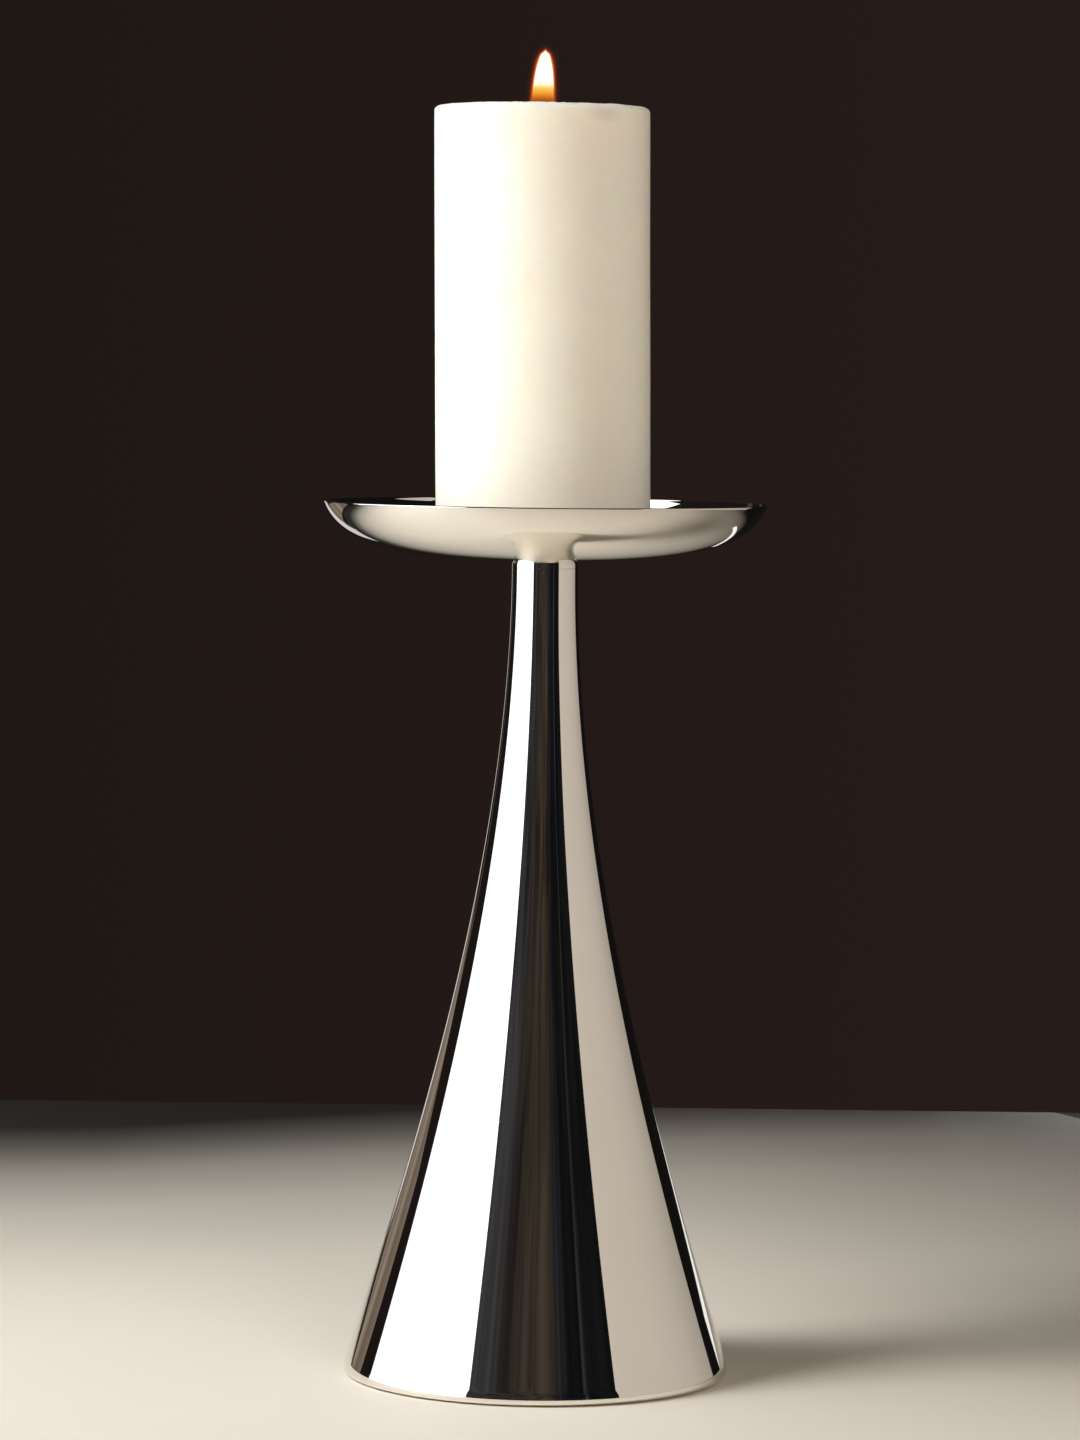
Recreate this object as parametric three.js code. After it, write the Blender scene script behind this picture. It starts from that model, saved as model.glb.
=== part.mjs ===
// Pillar candle holder: a plated, flared stem that carries a shallow dish, a pricket and a pillar candle.
// Millimetres, +Z up. The origin is the centre of the felt's underside, where the holder stands.
import * as THREE from 'three';

// Driving dimensions of the holder.
const RIM_HEIGHT = 310.4;
const RIM_RADIUS = 78.6;
const DISH_BASE_HEIGHT = 289.7;
const DISH_FLAT_RADIUS = 24;
const DISH_RISE_ANGLE = THREE.MathUtils.degToRad(70); // of the wall at the rim, above level
const DISH_WALL = 1.4;
const NECK_RADIUS = 11.7;
const NECK_TOP = 287.5;
const FOOT_RADIUS = 68.6;
const FOOT_FILLET = 2.2;
const FOOT_SLOPE = 0.322; // radius gained per millimetre of drop, just above the foot
const FOOT_CLEARANCE = 0.5; // the felt lifts the metal edge off the table by this much
const STEM_WALL = 1.6;
const LIP_RADIUS = 65; // inside radius of the foot's thickened edge
const LIP_HEIGHT = 4;
const GAP = 0.3; // between pieces that touch

// How far the outlines keep each end's direction: the lengths of their curves' end handles.
const FOOT_PULL = 78;
const NECK_PULL = 101;
const DISH_FLAT_PULL = 29.5;
const DISH_RIM_PULL = 15.5;

// Driving dimensions of the pricket.
const FLANGE_RADIUS = 12;
const FLANGE_THICKNESS = 1.5;
const FLANGE_ROUNDING = 0.5;
const SPIKE_RADIUS = 2.6;
const SPIKE_HEIGHT = 24;
const SPIKE_KNEE_RADIUS = 1.95; // where the spike's slow taper gives way to its point
const SPIKE_KNEE_HEIGHT = 14.4;
const STUD_END = 273; // the foot of its stud, in the neck's bush

// Driving dimensions of what lies in the foot and the neck.
const FELT_THICKNESS = 2;
const COVER_THICKNESS = 1.5;
const WEIGHT_THICKNESS = 12;
const WEIGHT_BEVEL = 1;
const WEIGHT_SLACK = 0.45; // between the weight's cone and the stem's wall
const COUNTERBORE_RADIUS = 11;
const COUNTERBORE_DEPTH = 9.9;
const BUSH_LOW = 257;
const ROD_TOP = 270;
const ROD_END = 4.4;

// Driving dimensions of the candle.
const CANDLE_RADIUS = 38;
const CANDLE_TOP = 450;
const CANDLE_EDGE = 2.5;
const CANDLE_BASE_EDGE = 1.2;
const CANDLE_OFFSET = -1.9; // along X: the candle was pushed onto the spike a little off centre
const SPIKE_HOLE_SLACK = 0.9; // round the spike's foot
const SPIKE_HOLE_DEPTH = 25.2; // above the flange
const POOL_RADIUS = 21; // half way down its slope
const POOL_SLOPE = 5; // the slope's reach on each side of that
const POOL_DEPTH = 1.8;
const WICK_RADIUS = 1.1;
const WICK_EXPOSED = 8;
const WICK_LEAN = 1.3;

// M6 fastener sizes.
const THREAD_RADIUS = 3;
const THREAD_CHAMFER = 0.6;
const NUT_ACROSS_FLATS = 10;
const NUT_HEIGHT = 5;
const WASHER_RADIUS = 6;
const LOCK_WASHER_RADIUS = 5.7;
const WASHER_THICKNESS = 1.6;
const LOCK_WASHER_SLIT = 0.16; // radians
const CLEAR_BORE = THREAD_RADIUS + GAP; // radius of each bore that a thread goes through

const ROUND_SEGMENTS = 48;
const SMALL_SEGMENTS = 20;
const STEM_STEPS = 12;
const DISH_STEPS = 9;

const nickel = new THREE.MeshStandardMaterial({ color: 0xdedad2, roughness: 0.05, metalness: 1 });
const brass = new THREE.MeshStandardMaterial({ color: 0xc8a45a, roughness: 0.35, metalness: 1 });
const zincSteel = new THREE.MeshStandardMaterial({ color: 0xb4b6b8, roughness: 0.35, metalness: 1 });
const castIron = new THREE.MeshStandardMaterial({ color: 0x3a3a3c, roughness: 0.8, metalness: 0.6 });
const blackEnamel = new THREE.MeshStandardMaterial({ color: 0x191919, roughness: 0.5, metalness: 0.1 });
const felt = new THREE.MeshStandardMaterial({ color: 0x1d1c1b, roughness: 1, metalness: 0 });
const wax = new THREE.MeshStandardMaterial({ color: 0xf2ece0, roughness: 0.5, metalness: 0 });
const cotton = new THREE.MeshStandardMaterial({ color: 0x2a2420, roughness: 1, metalness: 0 });

// Turns a profile of [radius, height] points about the vertical axis. Points run up the outside,
// and a ring's profile comes back down the inside to its first point.
function turned(profile, segments = ROUND_SEGMENTS) {
  const points = profile.map(([radius, height]) => new THREE.Vector2(radius, height));
  return new THREE.LatheGeometry(points, segments).rotateX(Math.PI / 2);
}

function ring(innerRadius, outerRadius, low, high, segments = SMALL_SEGMENTS) {
  return turned([
    [innerRadius, low],
    [outerRadius, low],
    [outerRadius, high],
    [innerRadius, high],
    [innerRadius, low],
  ], segments);
}

function disc(radius, low, high, segments = ROUND_SEGMENTS) {
  return turned([[0, low], [radius, low], [radius, high], [0, high]], segments);
}

// Points of an arc in the profile plane, from one angle to another in radians, ends included.
function arc(centre, radius, from, to, steps) {
  return Array.from({ length: steps + 1 }, (_, step) => {
    const angle = from + ((to - from) * step) / steps;
    return [centre[0] + radius * Math.cos(angle), centre[1] + radius * Math.sin(angle)];
  });
}

// Points of a curve in the profile plane, moved sideways to the left of its direction by a distance.
function curvePoints(curve, steps, distance = 0) {
  return Array.from({ length: steps + 1 }, (_, step) => {
    const at = curve.getPoint(step / steps);
    const along = curve.getTangent(step / steps);
    return [at.x - along.y * distance, at.y + along.x * distance];
  });
}

function bezier(...points) {
  return new THREE.CubicBezierCurve(...points.map(([radius, height]) => new THREE.Vector2(radius, height)));
}

// The stem's outline, from the foot's fillet up to the neck.
const footAngle = -Math.atan(FOOT_SLOPE);
const filletCentre = [FOOT_RADIUS - FOOT_FILLET, FOOT_CLEARANCE + FOOT_FILLET];
const filletEnd = [
  filletCentre[0] + FOOT_FILLET * Math.cos(footAngle),
  filletCentre[1] - FOOT_FILLET * Math.sin(footAngle),
];
const stemCurve = bezier(
  filletEnd,
  [filletEnd[0] - FOOT_SLOPE * FOOT_PULL, filletEnd[1] + FOOT_PULL],
  [NECK_RADIUS, NECK_TOP - NECK_PULL],
  [NECK_RADIUS, NECK_TOP],
);
const stemInside = curvePoints(stemCurve, STEM_STEPS, STEM_WALL);

// Inside radius of the stem's wall at a height, between two neighbouring points of its outline.
function stemInsideRadius(height) {
  const above = stemInside.findIndex(([, pointHeight]) => pointHeight > height);
  const [lowRadius, low] = stemInside[above - 1];
  const [highRadius, high] = stemInside[above];
  return lowRadius + ((highRadius - lowRadius) * (height - low)) / (high - low);
}

function flaredStem() {
  const insideFromLip = stemInside.filter(([, height]) => height > LIP_HEIGHT).reverse();
  return turned([
    [LIP_RADIUS, FOOT_CLEARANCE],
    ...arc(filletCentre, FOOT_FILLET, -Math.PI / 2, -footAngle, 3),
    ...curvePoints(stemCurve, STEM_STEPS).slice(1),
    ...insideFromLip.map(([radius, height]) => [radius, Math.min(height, NECK_TOP)]),
    [stemInsideRadius(LIP_HEIGHT + 1), LIP_HEIGHT],
    [LIP_RADIUS, LIP_HEIGHT],
    [LIP_RADIUS, FOOT_CLEARANCE],
  ]);
}

// The dish: a flat middle, then one smooth rise to a thin rounded rim.
const dishEdge = [RIM_RADIUS, RIM_HEIGHT - DISH_WALL / 2];
const dishCurve = bezier(
  [DISH_FLAT_RADIUS, DISH_BASE_HEIGHT],
  [DISH_FLAT_RADIUS + DISH_FLAT_PULL, DISH_BASE_HEIGHT],
  [
    dishEdge[0] - DISH_RIM_PULL * Math.cos(DISH_RISE_ANGLE),
    dishEdge[1] - DISH_RIM_PULL * Math.sin(DISH_RISE_ANGLE),
  ],
  dishEdge,
);

function dish() {
  const inside = curvePoints(dishCurve, DISH_STEPS, DISH_WALL).reverse();
  const rimCentre = [(dishEdge[0] + inside[0][0]) / 2, (dishEdge[1] + inside[0][1]) / 2];
  const rimStart = DISH_RISE_ANGLE - Math.PI / 2;
  const rim = arc(rimCentre, DISH_WALL / 2, rimStart, rimStart + Math.PI, 3).slice(1, -1);
  return turned([
    [CLEAR_BORE, DISH_BASE_HEIGHT],
    ...curvePoints(dishCurve, DISH_STEPS),
    ...rim,
    ...inside,
    [CLEAR_BORE, DISH_BASE_HEIGHT + DISH_WALL],
    [CLEAR_BORE, DISH_BASE_HEIGHT],
  ]);
}

// The collar under the dish swells from the neck's radius with a small cove.
function dishCollar() {
  const land = 0.2; // straight part below the cove
  const low = NECK_TOP + GAP;
  const high = DISH_BASE_HEIGHT - GAP;
  const coveRadius = high - low - land;
  return turned([
    [CLEAR_BORE, low],
    [NECK_RADIUS, low],
    ...arc([NECK_RADIUS + coveRadius, low + land], coveRadius, Math.PI, Math.PI / 2, 2),
    [CLEAR_BORE, high],
    [CLEAR_BORE, low],
  ]);
}

function neckBush() {
  return ring(CLEAR_BORE, NECK_RADIUS - STEM_WALL - GAP, BUSH_LOW, NECK_TOP - GAP, SMALL_SEGMENTS * 2);
}

function tieRod() {
  return turned([
    [0, ROD_END],
    [THREAD_RADIUS - THREAD_CHAMFER, ROD_END],
    [THREAD_RADIUS, ROD_END + THREAD_CHAMFER],
    [THREAD_RADIUS, ROD_TOP - THREAD_CHAMFER],
    [THREAD_RADIUS - THREAD_CHAMFER, ROD_TOP],
    [0, ROD_TOP],
  ], SMALL_SEGMENTS);
}

// The pricket: a threaded stud below a thin flange, and a spike above it that enters the candle.
const FLANGE_LOW = DISH_BASE_HEIGHT + DISH_WALL + GAP;
const FLANGE_HIGH = FLANGE_LOW + FLANGE_THICKNESS;

function pricket() {
  return turned([
    [0, STUD_END],
    [THREAD_RADIUS - THREAD_CHAMFER, STUD_END],
    [THREAD_RADIUS, STUD_END + THREAD_CHAMFER],
    [THREAD_RADIUS, FLANGE_LOW],
    [FLANGE_RADIUS, FLANGE_LOW],
    [FLANGE_RADIUS, FLANGE_HIGH - FLANGE_ROUNDING],
    [FLANGE_RADIUS - FLANGE_ROUNDING, FLANGE_HIGH],
    [SPIKE_RADIUS, FLANGE_HIGH],
    [SPIKE_KNEE_RADIUS, FLANGE_HIGH + SPIKE_KNEE_HEIGHT],
    [0, FLANGE_HIGH + SPIKE_HEIGHT],
  ], SMALL_SEGMENTS);
}

// The foot's filling, from the table up: felt, cover disc, and the weight that the tie rod pulls
// up into the stem's cone. The nut and its washers lie in the weight's counterbore.
const COVER_LOW = FELT_THICKNESS + GAP;
const WEIGHT_LOW = COVER_LOW + COVER_THICKNESS + GAP;
const WEIGHT_HIGH = WEIGHT_LOW + WEIGHT_THICKNESS;
const COUNTERBORE_TOP = WEIGHT_LOW + COUNTERBORE_DEPTH;
const PLUG_RADIUS = LIP_RADIUS - GAP * 2; // of the discs that go up inside the foot's lip

function feltPad() {
  return disc(LIP_RADIUS - 1, 0, FELT_THICKNESS);
}

function baseCover() {
  return disc(PLUG_RADIUS, COVER_LOW, COVER_LOW + COVER_THICKNESS);
}

function ballastWeight() {
  const taperStart = WEIGHT_LOW + WEIGHT_THICKNESS / 3;
  return turned([
    [COUNTERBORE_RADIUS, WEIGHT_LOW],
    [PLUG_RADIUS - WEIGHT_BEVEL, WEIGHT_LOW],
    [PLUG_RADIUS, WEIGHT_LOW + WEIGHT_BEVEL],
    [Math.min(PLUG_RADIUS, stemInsideRadius(taperStart) - WEIGHT_SLACK), taperStart],
    [stemInsideRadius(WEIGHT_HIGH) - WEIGHT_SLACK, WEIGHT_HIGH],
    [CLEAR_BORE, WEIGHT_HIGH],
    [CLEAR_BORE, COUNTERBORE_TOP],
    [COUNTERBORE_RADIUS, COUNTERBORE_TOP],
    [COUNTERBORE_RADIUS, WEIGHT_LOW],
  ]);
}

const FLAT_WASHER_LOW = COUNTERBORE_TOP - GAP - WASHER_THICKNESS;
const LOCK_WASHER_LOW = FLAT_WASHER_LOW - GAP - WASHER_THICKNESS;
const NUT_LOW = LOCK_WASHER_LOW - GAP - NUT_HEIGHT;

function flatWasher() {
  return ring(CLEAR_BORE, WASHER_RADIUS, FLAT_WASHER_LOW, FLAT_WASHER_LOW + WASHER_THICKNESS);
}

function lockWasher() {
  const outline = new THREE.Shape();
  outline.absarc(0, 0, LOCK_WASHER_RADIUS, LOCK_WASHER_SLIT, Math.PI * 2 - LOCK_WASHER_SLIT, false);
  outline.absarc(0, 0, CLEAR_BORE, Math.PI * 2 - LOCK_WASHER_SLIT, LOCK_WASHER_SLIT, true);
  outline.closePath();
  const options = { depth: WASHER_THICKNESS, bevelEnabled: false, curveSegments: SMALL_SEGMENTS };
  return new THREE.ExtrudeGeometry(outline, options).translate(0, 0, LOCK_WASHER_LOW);
}

function hexNut() {
  const cornerRadius = NUT_ACROSS_FLATS / 2 / Math.cos(Math.PI / 6);
  const corners = Array.from({ length: 6 }, (_, corner) => {
    const angle = (corner * Math.PI) / 3;
    return new THREE.Vector2(cornerRadius * Math.cos(angle), cornerRadius * Math.sin(angle));
  });
  const outline = new THREE.Shape(corners);
  const bore = new THREE.Path().absarc(0, 0, CLEAR_BORE, 0, Math.PI * 2, true);
  outline.holes.push(bore);
  const options = { depth: NUT_HEIGHT, bevelEnabled: false, curveSegments: SMALL_SEGMENTS / 2 };
  return new THREE.ExtrudeGeometry(outline, options).translate(0, 0, NUT_LOW);
}

// The candle: a moulded pillar with a hole for the spike, a bore for the wick and a shallow pool on top.
const CANDLE_LOW = FLANGE_HIGH + GAP;
const SPIKE_HOLE_TOP = FLANGE_HIGH + SPIKE_HOLE_DEPTH;
const SPIKE_HOLE_RADIUS = SPIKE_RADIUS + SPIKE_HOLE_SLACK;
const POOL_FLOOR = CANDLE_TOP - POOL_DEPTH;
const WICK_BORE = WICK_RADIUS + GAP;
const WICK_BORE_LOW = SPIKE_HOLE_TOP + 6; // above this the bore follows the candle's own axis

function candle() {
  const edgeCentre = [CANDLE_RADIUS - CANDLE_EDGE, CANDLE_TOP - CANDLE_EDGE];
  const geometry = turned([
    [SPIKE_HOLE_RADIUS, CANDLE_LOW],
    [CANDLE_RADIUS - CANDLE_BASE_EDGE, CANDLE_LOW],
    [CANDLE_RADIUS, CANDLE_LOW + CANDLE_BASE_EDGE],
    ...arc(edgeCentre, CANDLE_EDGE, 0, Math.PI / 2, 3),
    [POOL_RADIUS + POOL_SLOPE, CANDLE_TOP],
    [POOL_RADIUS, (CANDLE_TOP + POOL_FLOOR) / 2],
    [POOL_RADIUS - POOL_SLOPE, POOL_FLOOR],
    [WICK_BORE, POOL_FLOOR],
    [WICK_BORE, WICK_BORE_LOW],
    [WICK_BORE, SPIKE_HOLE_TOP],
    [SPIKE_KNEE_RADIUS + SPIKE_HOLE_SLACK, FLANGE_HIGH + SPIKE_KNEE_HEIGHT],
    [SPIKE_HOLE_RADIUS, CANDLE_LOW],
  ]);
  return shiftedOutsideSpikeHole(geometry);
}

// Moves the candle off centre, and leaves the hole where the spike goes on the holder's axis.
function shiftedOutsideSpikeHole(geometry) {
  const tolerance = 0.01;
  const positions = geometry.getAttribute('position');
  for (let index = 0; index < positions.count; index += 1) {
    const radius = Math.hypot(positions.getX(index), positions.getY(index));
    const low = positions.getZ(index) < WICK_BORE_LOW - tolerance;
    const inSpikeHole = low && radius < SPIKE_HOLE_RADIUS + tolerance;
    if (!inSpikeHole) positions.setX(index, positions.getX(index) + CANDLE_OFFSET);
  }
  return geometry;
}

// The wick runs down the bore, and its burning end leans over a little.
function wick() {
  const route = new THREE.CatmullRomCurve3([
    new THREE.Vector3(CANDLE_OFFSET, 0, WICK_BORE_LOW + WICK_BORE),
    new THREE.Vector3(CANDLE_OFFSET, 0, (WICK_BORE_LOW + POOL_FLOOR) / 2),
    new THREE.Vector3(CANDLE_OFFSET, 0, POOL_FLOOR),
    new THREE.Vector3(CANDLE_OFFSET + WICK_LEAN / 4, 0, POOL_FLOOR + WICK_EXPOSED / 2),
    new THREE.Vector3(CANDLE_OFFSET + WICK_LEAN, 0, POOL_FLOOR + WICK_EXPOSED),
  ], false, 'centripetal');
  const section = new THREE.Shape().absarc(0, 0, WICK_RADIUS, 0, Math.PI * 2, false);
  const options = { steps: 14, curveSegments: 4, bevelEnabled: false, extrudePath: route };
  return new THREE.ExtrudeGeometry(section, options);
}

function piece(name, geometry, material) {
  const mesh = new THREE.Mesh(geometry, material);
  mesh.name = name;
  return mesh;
}

const stand = new THREE.Group();
stand.add(
  piece('flared_stem', flaredStem(), nickel),
  piece('dish', dish(), nickel),
  piece('dish_collar', dishCollar(), nickel),
  piece('neck_bush', neckBush(), brass),
  piece('pricket', pricket(), nickel),
  piece('tie_rod', tieRod(), zincSteel),
  piece('ballast_weight', ballastWeight(), castIron),
  piece('flat_washer', flatWasher(), zincSteel),
  piece('lock_washer', lockWasher(), zincSteel),
  piece('hex_nut', hexNut(), zincSteel),
  piece('base_cover', baseCover(), blackEnamel),
  piece('felt_pad', feltPad(), felt),
);

const pillarCandle = new THREE.Group();
pillarCandle.add(
  piece('candle_wax', candle(), wax),
  piece('candle_wick', wick(), cotton),
);

const holder = new THREE.Group();
holder.add(stand, pillarCandle);

export default holder;
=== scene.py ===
"""Looks of the pillar candle holder: mirror-plated metal, moulded wax and a small flame.

Lengths are in metres, in the frame's own coordinates. The stem, dish, collar, spike, base cover,
felt, candle and wick are remade here as fine smooth surfaces, which the frame's boxes place.
"""
import math

import bmesh
import bpy
from mathutils import Matrix, Vector, noise


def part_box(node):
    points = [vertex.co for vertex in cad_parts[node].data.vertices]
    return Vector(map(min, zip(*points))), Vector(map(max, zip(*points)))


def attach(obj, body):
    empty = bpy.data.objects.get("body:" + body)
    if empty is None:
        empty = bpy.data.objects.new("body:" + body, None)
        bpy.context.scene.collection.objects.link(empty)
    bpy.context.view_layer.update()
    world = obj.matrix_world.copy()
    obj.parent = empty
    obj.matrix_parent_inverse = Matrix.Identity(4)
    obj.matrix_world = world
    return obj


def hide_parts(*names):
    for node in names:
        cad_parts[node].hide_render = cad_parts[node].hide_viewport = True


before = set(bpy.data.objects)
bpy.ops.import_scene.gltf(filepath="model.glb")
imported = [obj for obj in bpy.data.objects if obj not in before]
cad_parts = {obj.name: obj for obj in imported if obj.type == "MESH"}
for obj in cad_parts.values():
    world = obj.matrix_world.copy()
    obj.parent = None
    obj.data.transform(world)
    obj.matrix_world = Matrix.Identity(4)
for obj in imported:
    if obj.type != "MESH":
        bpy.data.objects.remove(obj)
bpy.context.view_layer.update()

MM = 0.001

# Sizes that the frame gives.
DISH_LOW, DISH_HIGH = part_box("dish")
STEM_LOW, STEM_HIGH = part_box("flared_stem")
BUSH_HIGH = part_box("neck_bush")[1]
PRICKET_LOW, PRICKET_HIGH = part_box("pricket")
CANDLE_LOW, CANDLE_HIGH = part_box("candle_wax")
WICK_LOW, WICK_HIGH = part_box("candle_wick")
FELT_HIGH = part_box("felt_pad")[1]

# Sizes that a box doesn't tell.
GAP = 0.3 * MM
STEM_WALL = 1.6 * MM
NECK_RADIUS = BUSH_HIGH.x + STEM_WALL + GAP
NECK_PULL = 101 * MM
COLLAR_COVE = 0.5 * MM
SEAM = 0.06 * MM
FOOT_RADIUS = STEM_HIGH.x
FOOT_FILLET = 1.5 * MM
FOOT_BLEND = 12 * MM
FOOT_BLEND_ANGLE = math.radians(3)
FOOT_SLOPE = 0.322
FOOT_PULL = 78 * MM
LIP_RADIUS = FELT_HIGH.x + 1 * MM
LIP_HEIGHT = 4 * MM
RIM_RADIUS = DISH_HIGH.x
RIM_WALL = 0.7 * MM
DISH_WALL = 1.4 * MM
DISH_FLOOR = DISH_LOW.z + DISH_WALL
DISH_FLAT_RADIUS = 24 * MM
DISH_FLAT_PULL = 29.5 * MM
DISH_RIM_PULL = 15.5 * MM
DISH_RISE_ANGLE = math.radians(70)
BORE_RADIUS = 3.3 * MM
STUD_RADIUS = 3 * MM
FLANGE_THICKNESS = 1.5 * MM
SPIKE_RADIUS = 2.6 * MM
SPIKE_KNEE_RADIUS = 1.95 * MM
SPIKE_KNEE_HEIGHT = 14.4 * MM
SPIKE_TIP_RADIUS = 0.25 * MM
SPIKE_ROUNDING = 0.5 * MM
STUD_CHAMFER = 0.6 * MM
CANDLE_RADIUS = (CANDLE_HIGH.x - CANDLE_LOW.x) / 2
CANDLE_X = (CANDLE_HIGH.x + CANDLE_LOW.x) / 2
CANDLE_MIDDLE = (CANDLE_HIGH.z + CANDLE_LOW.z) / 2
CANDLE_LEAN = -0.0137  # sideways per height: it stands a little askew on its spike
CANDLE_EDGE = 1.9 * MM
CANDLE_BASE_EDGE = 1.2 * MM
SPIKE_HOLE_RADIUS = 3.5 * MM
SPIKE_HOLE_TOP = PRICKET_HIGH.z + 1.2 * MM
SPIKE_HOLE_BEVEL = 0.4 * MM
POOL_RADIUS = 21 * MM
POOL_SLOPE = 5 * MM
POOL_DEPTH = 1.8 * MM
POOL_HEIGHT = CANDLE_HIGH.z - POOL_DEPTH
WICK_RADIUS = 1.1 * MM
WICK_BORE_RADIUS = WICK_RADIUS + 0.15 * MM
WICK_BEND = 1.3 * MM
WICK_PLAIT = 3.2 * MM
FLAME_HEIGHT = 20 * MM
FLAME_RADIUS = 4.2 * MM
FLAME_LEAN = 0.9 * MM
DENT_ANGLE = math.radians(-55)
DENT_DROP = 3.4 * MM
DENT_DEPTH = 0.9 * MM
DENT_ACROSS = 4.2 * MM
DENT_DOWN = 1.7 * MM
# Grey painted shade in the candle's dent: how flat it is, how dark, and where it fades.
DENT_SHADE_FLATNESS = 2.4
DENT_SHADE_STRENGTH = 0.26
DENT_SHADE_CORE = 1 * MM
DENT_SHADE_REACH = 9 * MM
WORN_BAND = 5 * MM
SEGMENTS = 256


# ---------------------------------------------------------------- geometry

def bezier(start, pull_start, pull_end, end, steps):
    """Points and unit tangents of a cubic curve in the profile plane of (radius, height)."""
    points = [Vector(p) for p in (start, pull_start, pull_end, end)]
    found = []
    for step in range(steps + 1):
        t = step / steps
        s = 1 - t
        weights = (s ** 3, 3 * s * s * t, 3 * s * t * t, t ** 3)
        at = sum((w * p for w, p in zip(weights, points)), Vector((0, 0)))
        along = (s * s * (points[1] - points[0]) + 2 * s * t * (points[2] - points[1])
                 + t * t * (points[3] - points[2]))
        found.append((at, along.normalized()))
    return found


def beside(curve, distance):
    """The curve's points moved to the left of its direction."""
    return [(at.x - along.y * distance, at.y + along.x * distance) for at, along in curve]


def arc(centre, radius, start, end, steps):
    angles = (start + (end - start) * step / steps for step in range(steps + 1))
    return [(centre[0] + radius * math.cos(a), centre[1] + radius * math.sin(a)) for a in angles]


def line(start, end, steps):
    """Evenly spaced points from start up to but not including end."""
    a, b = Vector(start), Vector(end)
    return [tuple(a.lerp(b, step / steps)) for step in range(steps)]


def new_object(name, mesh_maker, material):
    """An object whose mesh is filled by mesh_maker(bm), smooth but for its sharp corners."""
    bm = bmesh.new()
    mesh_maker(bm)
    bmesh.ops.recalc_face_normals(bm, faces=bm.faces)
    mesh = bpy.data.meshes.new(name)
    bm.to_mesh(mesh)
    bm.free()
    mesh.polygons.foreach_set("use_smooth", [True] * len(mesh.polygons))
    mesh.set_sharp_from_angle(angle=math.radians(40))
    piece = bpy.data.objects.new(name, mesh)
    bpy.context.scene.collection.objects.link(piece)
    mesh.materials.append(material)
    return piece


def loft(bm, rings, closed=False):
    """Faces between neighbouring rings of vertices. A ring of one vertex is a point."""
    for a, b in zip(rings, rings[1:] + rings[:1] if closed else rings[1:]):
        count = max(len(a), len(b))
        for k in range(count):
            n = (k + 1) % count
            corners = (a[k % len(a)], a[n % len(a)], b[n % len(b)], b[k % len(b)])
            corners = list(dict.fromkeys(corners))
            if len(corners) > 2:
                bm.faces.new(corners)


def turned(name, profile, material, centre_at=None, closed=True, segments=SEGMENTS, wobble=None):
    """A turned piece: a profile of (radius, height) swept round the vertical axis.

    A profile point of radius 0 becomes one vertex. centre_at(radius, height) gives each ring's own
    X centre, and wobble(angle, radius, height) a small change of (radius, height).
    """
    def fill(bm):
        rings = []
        for radius, height in profile:
            centre = centre_at(radius, height) if centre_at else 0.0
            if radius == 0:
                rings.append([bm.verts.new((centre, 0, height))])
                continue
            ring = []
            for k in range(segments):
                angle = 2 * math.pi * k / segments
                dr, dz = wobble(angle, radius, height) if wobble else (0.0, 0.0)
                x = centre + (radius + dr) * math.cos(angle)
                y = (radius + dr) * math.sin(angle)
                ring.append(bm.verts.new((x, y, height + dz)))
            rings.append(ring)
        loft(bm, rings, closed)

    return new_object(name, fill, material)


# ---------------------------------------------------------------- materials

def shader(name, **settings):
    """A material with its Principled shader, the shader's sockets set, and helpers for its nodes."""
    material = bpy.data.materials.new(name)
    material.use_nodes = True
    nodes, links = material.node_tree.nodes, material.node_tree.links
    principled = nodes["Principled BSDF"]
    for socket, value in settings.items():
        principled.inputs[socket.replace("_", " ")].default_value = value
    return material, nodes, links, principled


def object_coordinates(nodes, links, scale=(1, 1, 1)):
    coordinates = nodes.new("ShaderNodeTexCoord")
    mapping = nodes.new("ShaderNodeMapping")
    mapping.inputs["Scale"].default_value = scale
    links.new(coordinates.outputs["Object"], mapping.inputs["Vector"])
    return mapping.outputs["Vector"]


def noise_texture(nodes, links, vector, scale, detail=3.0, roughness=0.5, distortion=0.0):
    texture = nodes.new("ShaderNodeTexNoise")
    texture.inputs["Scale"].default_value = scale
    texture.inputs["Detail"].default_value = detail
    texture.inputs["Roughness"].default_value = roughness
    texture.inputs["Distortion"].default_value = distortion
    links.new(vector, texture.inputs["Vector"])
    return texture.outputs["Fac"]


def ramp(nodes, links, value, stops):
    """A colour ramp with stops of (position, colour)."""
    node = nodes.new("ShaderNodeValToRGB")
    elements = node.color_ramp.elements
    while len(elements) < len(stops):
        elements.new(1.0)
    for element, (position, colour) in zip(elements, stops):
        element.position = position
        element.color = (*colour, 1.0)
    links.new(value, node.inputs["Fac"])
    return node.outputs["Color"]


def to_range(nodes, links, value, low, high, from_low=0.0, from_high=1.0):
    node = nodes.new("ShaderNodeMapRange")
    node.inputs["From Min"].default_value = from_low
    node.inputs["From Max"].default_value = from_high
    node.inputs["To Min"].default_value = low
    node.inputs["To Max"].default_value = high
    links.new(value, node.inputs["Value"])
    return node.outputs["Result"]


def bump(nodes, links, principled, height, strength, distance, chained=None):
    node = nodes.new("ShaderNodeBump")
    node.inputs["Strength"].default_value = strength
    node.inputs["Distance"].default_value = distance
    links.new(height, node.inputs["Height"])
    if chained:
        links.new(chained, node.inputs["Normal"])
    links.new(node.outputs["Normal"], principled.inputs["Normal"])
    return node.outputs["Normal"]


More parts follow.
